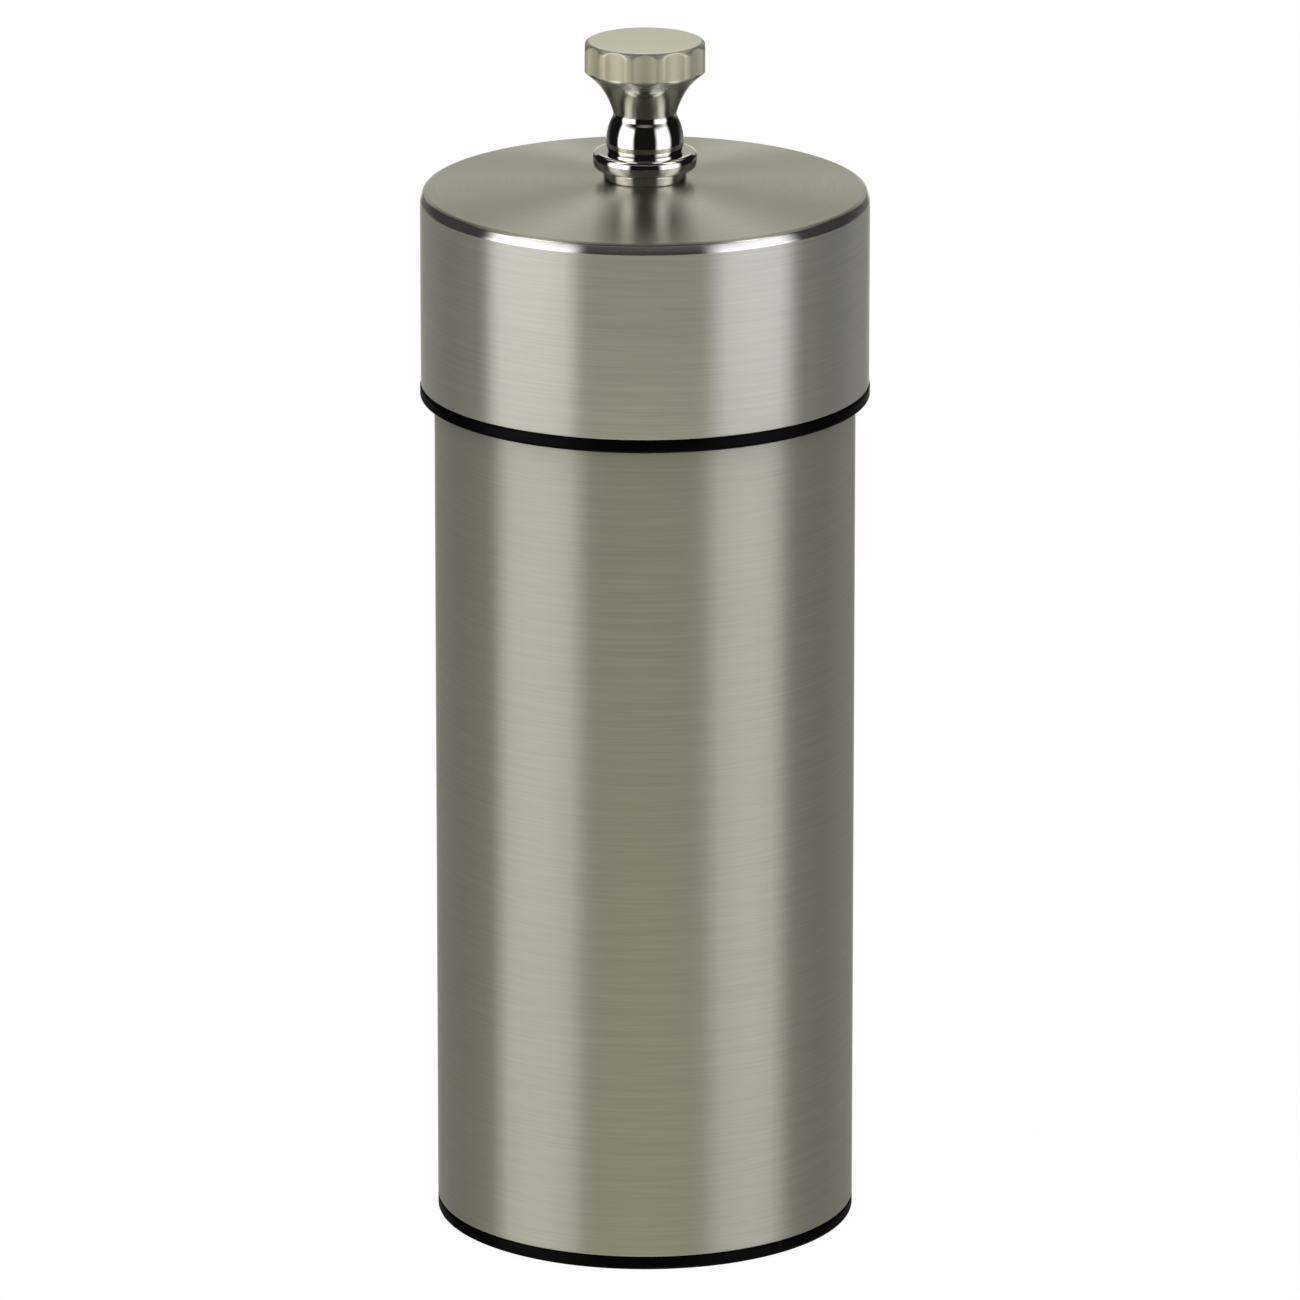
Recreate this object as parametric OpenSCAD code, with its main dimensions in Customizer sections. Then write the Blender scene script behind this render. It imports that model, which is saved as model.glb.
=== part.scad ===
// Salt mill: a steel-cased body, a turning head and a fluted knob that sets the grind.
// The mill stands on z = 0 with its axis on z. The rest position is the coarsest grind.

/* [Body] */
// Outer diameter of the steel body tube
body_d = 50; // [48:0.5:58]
// Length of the steel body tube
tube_len = 99.4; // [80:0.1:140]
// Wall of the steel body tube
tube_wall = 0.8; // [0.5:0.1:1.2]
// Bevel on the ends of the steel body tube
tube_bevel = 0.2; // [0.1:0.05:0.3]
// Wall of the plastic liner that holds the salt
liner_wall = 2; // [1.4:0.1:2.4]

/* [Base] */
// Height of the black flange that shows under the tube
base_h = 1.65; // [1.2:0.05:3]
// Radius of the rounded edges of the base flange
base_round = 0.4; // [0.2:0.05:0.5]
// How far the base reaches up into the tube
base_spigot_h = 8; // [6:0.5:10]
// Thickness of the floor of the base
base_floor = 1.6; // [1.2:0.1:2.4]
// Wall of the base moulding round the stator
base_wall = 1.4; // [1:0.1:1.6]
// How far the grinder outlet stands above the table
outlet_recess = 1.2; // [0.8:0.1:2]
// Width of the lip that carries the stator
lip_w = 1.6; // [1:0.1:2]
// Thickness of that lip
lip_t = 1.8; // [1.2:0.1:2.4]
// Number of screws through the base
base_screw_count = 3; // [2:1:4]

/* [Head] */
// Outer diameter of the steel head shell
head_d = 53.2; // [52:0.1:62]
// Height of the steel head shell at its rim
head_h = 23.5; // [18:0.1:34]
// Wall of the steel head shell
shell_wall = 0.8; // [0.6:0.1:1]
// Width of the steep bevel round the rim of the head
rim_bevel = 0.35; // [0.2:0.05:0.5]
// Height of that bevel
rim_bevel_h = 0.9; // [0.4:0.05:1.2]
// Width of the shoulder between that bevel and the domed top
rim_shoulder = 0.5; // [0.3:0.05:0.7]
// Height of that shoulder
rim_shoulder_h = 0.2; // [0.1:0.05:0.4]
// Rise of the domed top at its middle
crown_rise = 1.4; // [0.6:0.1:2.4]
// Height of the black ring that shows under the head
ring_h = 1.6; // [1:0.1:3]
// How far that ring stands proud of the head shell
ring_proud = 0.1; // [0.05:0.05:0.3]
// Radius of the rounded edges of that ring
ring_round = 0.35; // [0.1:0.05:0.45]
// Wall of the head core
core_wall = 2; // [1.4:0.1:2.6]
// Height of the thick foot of the head core
core_foot_h = 4; // [3.2:0.1:6]
// Depth of the head spigot in the body
spigot_h = 9; // [6:0.5:14]
// Length of the shaft guide under the top of the head
guide_len = 12; // [10:0.5:15]
// Number of ribs in the head core
rib_count = 6; // [3:1:12]
// Thickness of those ribs
rib_t = 1.4; // [0.8:0.1:2]
// Height of the glide ring that the head turns on
glide_h = 1.5; // [1:0.1:2.2]
// Thickness of the drive plate
plate_t = 1.5; // [1:0.1:2.5]
// Number of screws in the drive plate
plate_screw_count = 3; // [2:1:4]

/* [Knob] */
// Diameter of the knob over its fluted band
knob_d = 14.8; // [13:0.1:16]
// Height of the knob above its washer
knob_h = 15.4; // [14.5:0.1:18]
// Height of the fluted band
band_h = 3.5; // [3:0.1:4.2]
// Bevel on the top edge of the knob
knob_bevel = 0.5; // [0.2:0.05:0.8]
// Number of flutes
flute_count = 12; // [8:1:14]
// Depth of a flute
flute_depth = 0.4; // [0.2:0.05:0.5]
// Radius of a flute
flute_r = 4; // [3:0.1:5]
// Diameter of the waist
waist_d = 7.4; // [7.2:0.1:8.4]
// Height of the waist above the washer
waist_h = 6.5; // [6:0.1:7.2]
// Radius of the curve from the waist up to the band
flare_r = 9.8; // [7:0.1:14]
// Diameter of the bead under the waist
bead_d = 9.2; // [8.8:0.1:10]
// Height of the bead's middle above the washer
bead_h = 3.3; // [2.8:0.1:3.8]
// Radius of the curve of the bead
bead_r = 6; // [4.8:0.1:8]
// Diameter of the flange at the foot of the knob
flange_d = 12.4; // [11:0.1:14]
// Height of that flange
flange_h = 2.1; // [1.8:0.1:2.6]
// Radius of the rounded edges of that flange
flange_round = 0.8; // [0.2:0.05:0.85]
// Diameter of the washer under the knob
washer_d = 10; // [8:0.1:10.5]
// Thickness of that washer
washer_t = 1.2; // [0.6:0.1:1.4]

/* [Shaft] */
// Width of the square shaft across its flats
shaft_side = 5; // [4.95:0.05:5.4]
// Diameter of the shaft over its rounded corners
shaft_corner_d = 6.2; // [5.8:0.1:6.6]
// Diameter of the threaded stud at its top
stud_d = 4.9; // [4.2:0.1:4.9]
// Pitch of that thread
stud_pitch = 0.8; // [0.5:0.05:1]
// Turns of the knob from coarse to fine
adjust_turns = 1.5; // [1:0.25:1.75]
// Length of the stud inside the knob
stud_grip = 8; // [6:0.1:8.5]
// Depth of the square's shoulder under the top of the head
shoulder_depth = 7; // [5:0.1:9]
// Bevel on the end of the stud
stud_bevel = 0.5; // [0.3:0.1:0.8]

/* [Burrs] */
// Outer diameter of the stator
stator_d = 28; // [26.5:0.5:28.5]
// Height of the stator
stator_h = 9; // [8:0.5:11]
// Diameter of the rotor over its lower teeth
rotor_d = 21.2; // [20:0.1:21.6]
// Height of the rotor
rotor_h = 12; // [11:0.1:14]
// How far the rotor ends under the stator at the finest grind
rotor_drop = 0.1; // [0.1:0.05:0.4]
// Height of the fine grinding zone
grind_h = 4.8; // [4:0.1:5.5]
// Inward taper of the fine zone on its radius
grind_taper = 1.8; // [1.4:0.1:2.2]
// Diameter of the top of the rotor
rotor_top_d = 10.4; // [9.6:0.1:11]
// Height of the smooth top of the rotor
rotor_top_h = 0.8; // [0.5:0.1:1.2]
// Number of fine teeth
fine_teeth = 40; // [30:1:48]
// Depth of the fine teeth
fine_depth = 0.5; // [0.3:0.05:0.7]
// Twist of the fine teeth from bottom to top
fine_twist = 8; // [0:1:15]
// Number of feed teeth on the rotor
feed_teeth = 8; // [6:1:10]
// Depth of the feed teeth
feed_depth = 1.1; // [0.6:0.1:1.3]
// Twist of the feed teeth from bottom to top
feed_twist = 45; // [20:1:60]
// Number of crushing teeth in the stator's mouth
crush_teeth = 20; // [14:1:24]
// Depth of the crushing teeth
crush_depth = 0.8; // [0.5:0.1:1]
// Twist of the crushing teeth from bottom to top
crush_twist = 12; // [0:1:20]
// Diameter of the stator's mouth over the crests of its teeth
mouth_d = 20.4; // [19.6:0.1:21]
// Radial gap between the burrs at the finest grind
fine_gap = 0.15; // [0.1:0.05:0.3]
// Width of the keys that stop the stator turning
key_w = 3; // [2:0.1:4]
// Depth of those keys
key_depth = 0.9; // [0.6:0.1:1.1]
// Height of those keys
key_h = 5; // [3:0.1:7]

/* [Grinder housing] */
// Wall of the socket round the stator
socket_wall = 2; // [1.6:0.1:2.2]
// Wall of the housing at its top
housing_wall = 1.6; // [1.2:0.1:2.2]
// Width of the bridge over the burrs
bridge_w = 6; // [4.5:0.1:8]
// Thickness of that bridge
bridge_t = 3; // [2:0.1:4]
// Diameter of the boss on the bridge
boss_d = 12; // [11.5:0.1:14]
// Height of that boss
boss_h = 5; // [4:0.1:7]
// Wall of the bush in the boss
bush_wall = 0.8; // [0.6:0.1:1]
// Thickness of the collar of the bush
collar_t = 0.8; // [0.5:0.1:1.2]

/* [Spring and washers] */
// Diameter of the spring wire
wire_d = 0.9; // [0.7:0.05:1]
// Number of turns of the spring
spring_turns = 4; // [3:0.5:4.5]
// Length of the spring at rest
spring_len = 7.9; // [7.5:0.1:10]
// Thickness of the thrust washer
thrust_t = 0.8; // [0.5:0.1:1.2]
// Diameter of the washer under the rotor
rotor_washer_d = 9.6; // [8.5:0.1:10.4]
// Thickness of that washer
rotor_washer_t = 0.8; // [0.5:0.1:1]

/* [Screws] */
// Thread diameter of the screws
screw_d = 2.5; // [2:0.1:2.6]
// Diameter of a screw head
screw_head_d = 4.6; // [4:0.1:5]
// Height of a screw head
screw_head_h = 1.5; // [1.2:0.1:1.8]
// Grip of a screw in what it holds to
screw_grip = 7; // [5:0.5:8]
// Wall round a screw hole
post_wall = 1.4; // [1.2:0.1:1.5]
// Depth of a base screw's head above the table
head_sink = 0.3; // [0.2:0.1:0.6]

/* [Fits] */
// Radial gap of a fixed fit
fixed_gap = 0.1; // [0.05:0.01:0.15]
// Gap of a turning fit
run_gap = 0.05; // [0.03:0.01:0.08]
// Gap between the head and the body
head_gap = 0.3; // [0.2:0.05:0.5]

/* [Hidden] */
$fn = 180;
// How far a cutting shape runs past the face that it cuts
cut = 1;
// Free depth past the end of a screw or of the stud
spare = 1;
// Steps of a twisted tooth
twist_steps = 6;
// Steps of the spring wire in a turn and round the wire
turn_steps = 16;
wire_sides = 8;

// Radii of the body, from the outside in
body_r = body_d / 2;
tube_bore_r = body_r - tube_wall;
liner_r = tube_bore_r - fixed_gap;
chamber_r = liner_r - liner_wall;
housing_r = chamber_r - fixed_gap;
housing_bore_r = housing_r - housing_wall;
stator_r = stator_d / 2;
socket_r = stator_r + fixed_gap;
socket_outer_r = socket_r + socket_wall;
base_bore_r = socket_outer_r + fixed_gap;
lip_r = stator_r - lip_w;
screw_r = screw_d / 2;
screw_hole_r = screw_r + run_gap;
screw_head_r = screw_head_d / 2;
post_r = screw_hole_r + post_wall;
base_screw_circle = (socket_outer_r + housing_r) / 2;

// Radii of the head
head_r = head_d / 2;
rim_r = head_r - rim_bevel - rim_shoulder;
shell_bore_r = head_r - shell_wall;
core_r = shell_bore_r - fixed_gap;
ring_r = head_r + ring_proud;
spigot_r = chamber_r - head_gap;
spigot_bore_r = spigot_r - core_wall;
glide_r = liner_r - fixed_gap;
crown_r = (pow(rim_r, 2) + pow(crown_rise, 2)) / (2 * crown_rise);

// Radii on the axis
corner_r = shaft_corner_d / 2;
stud_r = stud_d / 2;
stud_hole_r = stud_r + run_gap;
guide_r = corner_r + fixed_gap;
guide_outer_r = guide_r + core_wall;
bush_bore_r = corner_r + run_gap;
bush_r = bush_bore_r + bush_wall;
boss_bore_r = bush_r + run_gap;
collar_r = bush_r + collar_t;
spring_r = boss_bore_r + wire_d / 2;
thrust_r = spring_r + wire_d;
rotor_r = rotor_d / 2;
throat_r = rotor_r - grind_taper;
mouth_r = mouth_d / 2;
rotor_top_r = rotor_top_d / 2;
recess_r = rotor_washer_d / 2 + fixed_gap;
knob_r = knob_d / 2;
waist_r = waist_d / 2;
plate_screw_circle = (spigot_bore_r + guide_outer_r) / 2;

// Heights of the body, from the table up
travel = stud_pitch * adjust_turns;
tube_top = base_h + tube_len;
base_top = base_h + base_spigot_h;
stator_z = outlet_recess + lip_t;
stator_top = stator_z + stator_h;
fine_rotor_z = stator_z - rotor_drop;
throat_z = fine_rotor_z + grind_h;
rotor_z = fine_rotor_z - travel;
rotor_top = rotor_z + rotor_h;
rotor_web_z = rotor_z + rotor_washer_t + screw_head_h + head_sink;
rotor_washer_z = rotor_web_z - rotor_washer_t;
shaft_z = rotor_web_z + run_gap;
thrust_top = rotor_top + thrust_t;
bridge_z = thrust_top + spring_len;
housing_top = bridge_z + bridge_t;
boss_top = bridge_z + boss_h;

// Heights of the head, from the table up
ring_z = tube_top + head_gap;
shell_z = ring_z + ring_h;
rim_z = shell_z + head_h;
crown_z = rim_z + crown_rise;
plate_z = ring_z - spigot_h;
plate_top = plate_z + plate_t;
glide_top = tube_top + glide_h;
core_ceiling = rim_z - shell_wall - fixed_gap - core_wall;
knob_z = crown_z + washer_t;
stud_top = knob_z + stud_grip;
shoulder_z = crown_z - shoulder_depth;

// A plain ring between two radii and two heights
module ring(inner, outer, low, high) {
    rotate_extrude() translate([inner, low]) square([outer - inner, high - low]);
}

// A plain rod or bore between two heights
module rod(r, low, high) {
    translate([0, 0, low]) cylinder(r = r, h = high - low);
}

// Copies spaced evenly round a circle, the first on the front of the mill
module around(count, r) {
    for (i = [0 : count - 1]) rotate(360 * i / count - 90) translate([r, 0, 0]) children();
}

// Section of a ring with rounded outer edges
module rounded_section(inner, outer, low, high, round) {
    translate([inner, low]) square([outer - round - inner, high - low]);
    translate([inner, low + round]) square([outer - inner, high - low - 2 * round]);
    for (z = [low + round, high - round]) translate([outer - round, z]) circle(r = round);
}

// Outline with pointed teeth between a root circle and a crest circle
function tooth_outline(crest, depth, teeth) = [
    for (i = [0 : 2 * teeth - 1])
        let (r = crest - depth * (i % 2), a = 180 * i / teeth) [r * cos(a), r * sin(a)]
];

// A toothed cone that narrows or widens upwards as its teeth twist
module toothed_cone(low_r, high_r, depth, teeth, twist, low, high) {
    translate([0, 0, low])
        linear_extrude(height = high - low, scale = high_r / low_r, twist = twist, slices = twist_steps, $fn = 0)
            polygon(tooth_outline(low_r, depth, teeth));
}

// Screw shank with a flat-topped pan head that hangs under a face
module pan_screw(face, tip) {
    rod(screw_r, face - cut / 2, tip);
    translate([0, 0, face - screw_head_h]) cylinder(r = screw_head_r, h = screw_head_h);
}

// Steel tube of the body
module body_tube() {
    color("#b9b7ae") rotate_extrude() polygon([
        [tube_bore_r, base_h],
        [body_r - tube_bevel, base_h],
        [body_r, base_h + tube_bevel],
        [body_r, tube_top - tube_bevel],
        [body_r - tube_bevel, tube_top],
        [tube_bore_r, tube_top]
    ]);
}

// Liner that holds the salt and carries the head
module salt_liner() {
    color("#26262a") ring(chamber_r, liner_r, base_top, tube_top);
}

// Section of the base: rounded foot, lip under the stator, inner wall, floor and spigot
module base_section() {
    wall_r = base_bore_r + base_wall;
    middle_r = base_bore_r + base_wall / 2;
    rounded_section(base_bore_r, body_r, 0, base_h, base_round);
    polygon([
        [lip_r, outlet_recess],
        [middle_r, outlet_recess],
        [middle_r, base_h / 2],
        [liner_r, base_h / 2],
        [liner_r, base_top],
        [chamber_r, base_top],
        [chamber_r, base_floor],
        [wall_r, base_floor],
        [wall_r, base_top],
        [base_bore_r, base_top],
        [base_bore_r, stator_z],
        [lip_r, stator_z]
    ]);
}

// Black base with screw posts that end just under the grinder housing
module base_ring() {
    color("#1c1c1e") difference() {
        union() {
            rotate_extrude() base_section();
            around(base_screw_count, base_screw_circle) rod(post_r, base_h / 2, base_top - fixed_gap);
        }
        around(base_screw_count, base_screw_circle) {
            rod(screw_hole_r, -cut, base_top + cut);
            rod(screw_head_r + run_gap, -cut, head_sink);
            translate([0, 0, head_sink])
                cylinder(r1 = screw_head_r + run_gap, r2 = screw_hole_r, h = screw_head_h);
        }
    }
}

// Bridge across the funnel with the boss for the bush
module bridge() {
    intersection() {
        translate([-bridge_w / 2, -housing_r, bridge_z]) cube([bridge_w, 2 * housing_r, bridge_t]);
        rod(housing_bore_r + housing_wall / 2, bridge_z, housing_top);
    }
    rod(boss_d / 2, bridge_z, boss_top);
}

// A bar across the axis, for the stator's two keys or their keyways
module key_bar(width, reach, low, high) {
    translate([-reach, -width / 2, low]) cube([2 * reach, width, high - low]);
}

// Funnel over the burrs with the stator's socket and the bridge
module grinder_housing() {
    color("#2b2b2e") difference() {
        union() {
            rotate_extrude() polygon([
                [mouth_r, stator_top],
                [socket_r, stator_top],
                [socket_r, stator_z],
                [socket_outer_r, stator_z],
                [socket_outer_r, base_top],
                [housing_r, base_top],
                [housing_r, housing_top],
                [housing_bore_r, housing_top],
                [housing_bore_r, bridge_z]
            ]);
            bridge();
        }
        rod(boss_bore_r, bridge_z - cut, boss_top + cut);
        key_bar(key_w + 2 * fixed_gap, stator_r + key_depth + fixed_gap, stator_z - cut, stator_z + key_h + fixed_gap);
        around(base_screw_count, base_screw_circle)
            rod(screw_hole_r, base_top - cut, base_top + screw_grip + spare);
    }
}

// Collared bush that the shaft runs in
module shaft_bush() {
    color("#e8e4d8") {
        ring(bush_bore_r, bush_r, bridge_z, boss_top);
        ring(bush_bore_r, collar_r, boss_top, boss_top + collar_t);
    }
}

// Toothed hole of the stator: a fine zone below the throat and a crushing zone above it
module stator_bore() {
    slope = grind_taper / grind_h;
    low = stator_z - cut;
    low_r = throat_r + slope * (throat_z - low) + fine_gap + fine_depth;
    high_r = low_r * (throat_r + fine_gap) / (low_r - fine_depth);
    toothed_cone(low_r, high_r, fine_depth, fine_teeth, fine_twist, low, throat_z);
    wide = mouth_r + crush_depth;
    toothed_cone(throat_r + fine_gap + crush_depth, wide, crush_depth, crush_teeth, crush_twist,
        throat_z - fine_gap, stator_top + cut);
}

// Fixed ceramic burr
module stator_burr() {
    color("#f2efe6") difference() {
        union() {
            rod(stator_r, stator_z, stator_top);
            key_bar(key_w, stator_r + key_depth, stator_z, stator_z + key_h);
        }
        stator_bore();
    }
}

// Countersunk screws that hold the base and clamp the stator
module base_screws() {
    color("#9a9a98") around(base_screw_count, base_screw_circle) {
        translate([0, 0, head_sink]) cylinder(r1 = screw_head_r, r2 = screw_r, h = screw_head_h);
        rod(screw_r, head_sink + screw_head_h / 2, base_top + screw_grip);
    }
}

// Points round the spring wire at one place along its helix
function wire_ring(t) = let (
    a = 360 * spring_turns * t,
    low = thrust_top + run_gap + wire_d / 2,
    high = bridge_z - run_gap - wire_d / 2
) [
    for (k = [0 : wire_sides - 1])
        let (b = 360 * k / wire_sides, r = spring_r + wire_d / 2 * cos(b))
            [r * cos(a), r * sin(a), low + (high - low) * t + wire_d / 2 * sin(b)]
];

// Spring that presses the rotor down
module burr_spring() {
    rings = ceil(spring_turns * turn_steps);
    points = [for (i = [0 : rings]) each wire_ring(i / rings)];
    sides = [
        for (i = [0 : rings - 1], k = [0 : wire_sides - 1])
            let (next = (k + 1) % wire_sides, a = i * wire_sides, b = a + wire_sides)
                [a + k, b + k, b + next, a + next]
    ];
    first_end = [for (k = [0 : wire_sides - 1]) k];
    last_end = [for (k = [wire_sides - 1 : -1 : 0]) rings * wire_sides + k];
    color("#b5b5b2") polyhedron(points, concat([first_end], sides, [last_end]));
}

// Washer between the spring and the rotor
module thrust_washer() {
    color("#c8c6bf") ring(guide_r, thrust_r, rotor_top, thrust_top);
}

// Square shaft with rounded corners, a threaded stud at its top and a screw hole at its foot
module drive_shaft() {
    color("#bcbcb8") difference() {
        union() {
            translate([0, 0, shaft_z]) linear_extrude(shoulder_z - shaft_z) intersection() {
                square(shaft_side, center = true);
                circle(r = corner_r);
            }
            rod(stud_r, shoulder_z - cut, stud_top - stud_bevel);
            translate([0, 0, stud_top - stud_bevel])
                cylinder(r1 = stud_r, r2 = stud_r - stud_bevel, h = stud_bevel);
        }
        rod(screw_hole_r, shaft_z - cut, shaft_z + screw_grip + spare);
    }
}

// Turning ceramic burr: fine teeth below, feed teeth above
module rotor_burr() {
    grind_top = rotor_z + grind_h;
    feed_top = rotor_top - rotor_top_h;
    hub = shaft_side + 2 * run_gap;
    color("#f5f2ea") difference() {
        union() {
            toothed_cone(rotor_r, throat_r, fine_depth, fine_teeth, fine_twist, rotor_z, grind_top);
            toothed_cone(throat_r - fine_depth, rotor_top_r + feed_depth / 2, feed_depth, feed_teeth, feed_twist,
                grind_top - fine_depth, feed_top);
            rod(rotor_top_r, feed_top - rotor_top_h, rotor_top);
        }
        rod(recess_r, rotor_z - cut, rotor_web_z);
        translate([-hub / 2, -hub / 2, rotor_z]) cube([hub, hub, rotor_h + cut]);
    }
}

// Washer that carries the rotor
module rotor_washer() {
    color("#b5b5b2") ring(screw_hole_r, rotor_washer_d / 2, rotor_washer_z, rotor_web_z);
}

// Screw in the foot of the shaft
module rotor_screw() {
    color("#9a9a98") pan_screw(rotor_washer_z, shaft_z + screw_grip);
}

// Ring that the head turns on
module glide_ring() {
    color("#e8e4d8") ring(chamber_r, glide_r, tube_top, glide_top);
}

// Circle of the domed top, or one that lies under it
module crown_circle(depth) {
    translate([0, crown_z - crown_r]) circle(r = crown_r - depth, $fn = 256);
}

// Steel cap of the head with a bevelled rim and a domed top
module head_shell() {
    bevel_z = rim_z - rim_shoulder_h;
    top = crown_z + cut;
    color("#bdbbb4") rotate_extrude() difference() {
        intersection() {
            polygon([
                [guide_r, shell_z],
                [head_r, shell_z],
                [head_r, bevel_z - rim_bevel_h],
                [head_r - rim_bevel, bevel_z],
                [rim_r, rim_z],
                [rim_r, top],
                [guide_r, top]
            ]);
            crown_circle(0);
        }
        intersection() {
            square([shell_bore_r, crown_z]);
            crown_circle(shell_wall);
        }
    }
}

// Section of the head core: ring, foot, wall, domed ceiling, shaft guide and spigot
module core_section() {
    difference() {
        union() {
            rounded_section(spigot_bore_r, ring_r, ring_z, shell_z, ring_round);
            translate([spigot_bore_r, ring_z]) square([core_r - spigot_bore_r, core_foot_h]);
            translate([spigot_bore_r, plate_z]) square([core_wall, spigot_h + cut]);
            intersection() {
                union() {
                    translate([core_r - core_wall, ring_z]) square([core_wall, crown_z - ring_z]);
                    translate([guide_r, core_ceiling]) square([core_r - guide_r, crown_z - core_ceiling]);
                    translate([guide_r, core_ceiling - guide_len]) square([core_wall, guide_len + cut]);
                }
                crown_circle(shell_wall + fixed_gap);
            }
        }
        translate([spigot_r, ring_z - cut]) square([glide_r + run_gap - spigot_r, glide_top - ring_z + cut]);
    }
}

// Ribs from the shaft guide to the wall
module core_ribs() {
    rib_low = core_ceiling - guide_len;
    inner = (guide_r + guide_outer_r) / 2;
    outer = core_r - core_wall / 2;
    for (i = [0 : rib_count - 1]) rotate(360 * (i + 0.5) / rib_count - 90)
        translate([inner, -rib_t / 2, rib_low]) cube([outer - inner, rib_t, guide_len + core_wall / 2]);
}

// Black core of the head
module head_core() {
    color("#1c1c1e") difference() {
        union() {
            rotate_extrude() core_section();
            core_ribs();
            around(plate_screw_count, plate_screw_circle) rod(post_r, plate_top, core_ceiling + core_wall / 2);
        }
        around(plate_screw_count, plate_screw_circle)
            rod(screw_hole_r, plate_top - cut, plate_top + screw_grip + spare);
    }
}

// Plate that turns the shaft
module drive_plate() {
    side = shaft_side + 2 * run_gap;
    color("#a9a9a6") difference() {
        rod(spigot_bore_r - fixed_gap, plate_z, plate_top);
        translate([-side / 2, -side / 2, plate_z - cut]) cube([side, side, plate_t + 2 * cut]);
        around(plate_screw_count, plate_screw_circle) rod(screw_hole_r, plate_z - cut, plate_top + cut);
    }
}

// Screws of the drive plate
module plate_screws() {
    color("#9a9a98") around(plate_screw_count, plate_screw_circle) pan_screw(plate_z, plate_top + screw_grip);
}

// Washer that shows as the narrow foot of the knob
module knob_washer() {
    color("#d0d0ce") ring(stud_hole_r, washer_d / 2, crown_z, knob_z);
}

// Section of the knob above its washer: flange, bead, waist, flare and band
module knob_section() {
    waist = [waist_r, waist_h];
    chord = [knob_r, knob_h - band_h] - waist;
    depth = sqrt(pow(flare_r, 2) - pow(norm(chord) / 2, 2));
    flare_middle = waist + chord / 2 + depth / norm(chord) * [chord[1], -chord[0]];
    rounded_section(0, flange_d / 2, 0, flange_h, flange_round);
    intersection() {
        translate([bead_d / 2 - bead_r, bead_h]) circle(r = bead_r);
        translate([0, flange_h / 2]) square([bead_d, waist_h - flange_h / 2]);
    }
    difference() {
        polygon([
            [0, bead_h],
            [knob_r, bead_h],
            [knob_r, knob_h - knob_bevel],
            [knob_r - knob_bevel, knob_h],
            [0, knob_h]
        ]);
        translate(flare_middle) circle(r = flare_r);
    }
}

// Fluted knob on the stud
module knob() {
    color("#d6d6d4") translate([0, 0, knob_z]) difference() {
        rotate_extrude() knob_section();
        around(flute_count, knob_r - flute_depth + flute_r) rod(flute_r, waist_h, knob_h + cut);
        rod(stud_hole_r, -cut, stud_grip + travel + spare);
    }
}

body_tube();
salt_liner();
base_ring();
grinder_housing();
shaft_bush();
stator_burr();
base_screws();
burr_spring();
thrust_washer();
drive_shaft();
rotor_burr();
rotor_washer();
rotor_screw();
glide_ring();
head_shell();
head_core();
drive_plate();
plate_screws();
knob_washer();
knob();
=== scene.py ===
"""Looks of a salt mill: brushed steel, polished chrome, moulded plastic and ceramic in a soft studio."""
import math

import bpy
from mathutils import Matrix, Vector


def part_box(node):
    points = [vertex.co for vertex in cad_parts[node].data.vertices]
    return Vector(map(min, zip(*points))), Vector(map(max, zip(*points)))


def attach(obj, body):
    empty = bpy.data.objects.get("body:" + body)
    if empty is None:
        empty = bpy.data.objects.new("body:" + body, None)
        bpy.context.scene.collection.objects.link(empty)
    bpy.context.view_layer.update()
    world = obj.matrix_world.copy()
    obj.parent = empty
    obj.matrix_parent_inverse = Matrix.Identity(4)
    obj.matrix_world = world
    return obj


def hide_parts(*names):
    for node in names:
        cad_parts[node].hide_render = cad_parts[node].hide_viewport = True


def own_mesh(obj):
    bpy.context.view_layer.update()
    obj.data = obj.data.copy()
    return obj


MM = 0.001
TURN = math.tau

# Sizes of the details, in metres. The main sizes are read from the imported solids.
TUBE_WALL = 0.8 * MM
TUBE_EDGE = 0.2 * MM

SHELL_WALL = 0.8 * MM
SHELL_HOLE_R = 3.2 * MM
RIM_BEVEL = 0.35 * MM
RIM_BEVEL_H = 0.9 * MM
RIM_SHOULDER = 0.5 * MM
RIM_SHOULDER_H = 0.2 * MM
RIM_EDGE = 0.15 * MM
CROWN_RISE = 1.4 * MM

STUD_HOLE_R = 2.5 * MM
WASHER_EDGE = 0.2 * MM

FLUTES = 12
FLUTE_R = 4.0 * MM
FLUTE_DEPTH = 0.4 * MM
FLUTE_EDGE = 0.12 * MM
BAND_H = 3.5 * MM
KNOB_BEVEL = 0.5 * MM
KNOB_EDGE = 0.15 * MM
KNOB_ROUND = 0.34 * MM
FLARE_CURVE = 9.8 * MM
WAIST_R = 3.7 * MM
WAIST_H = 6.5 * MM
WAIST_EDGE = 0.45 * MM
BEAD_R = 4.6 * MM
BEAD_CURVE = 6.0 * MM
BEAD_H = 3.3 * MM
FLANGE_R = 6.2 * MM
FLANGE_H = 2.1 * MM
FLANGE_EDGE = 0.8 * MM
KNOB_HOLE_H = 10.2 * MM

SHAFT_SIDE = 5.0 * MM
SHAFT_CORNER_R = 3.1 * MM
SHAFT_SHOULDER_DEPTH = 7.0 * MM
SHAFT_EDGE = 0.3 * MM
SHAFT_HOLE_R = 1.3 * MM
SHAFT_HOLE_H = 8.0 * MM
STUD_R = 2.45 * MM
STUD_CHAMFER = 0.5 * MM
THREAD_PITCH = 0.8 * MM
THREAD_DEPTH = 0.42 * MM

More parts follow.
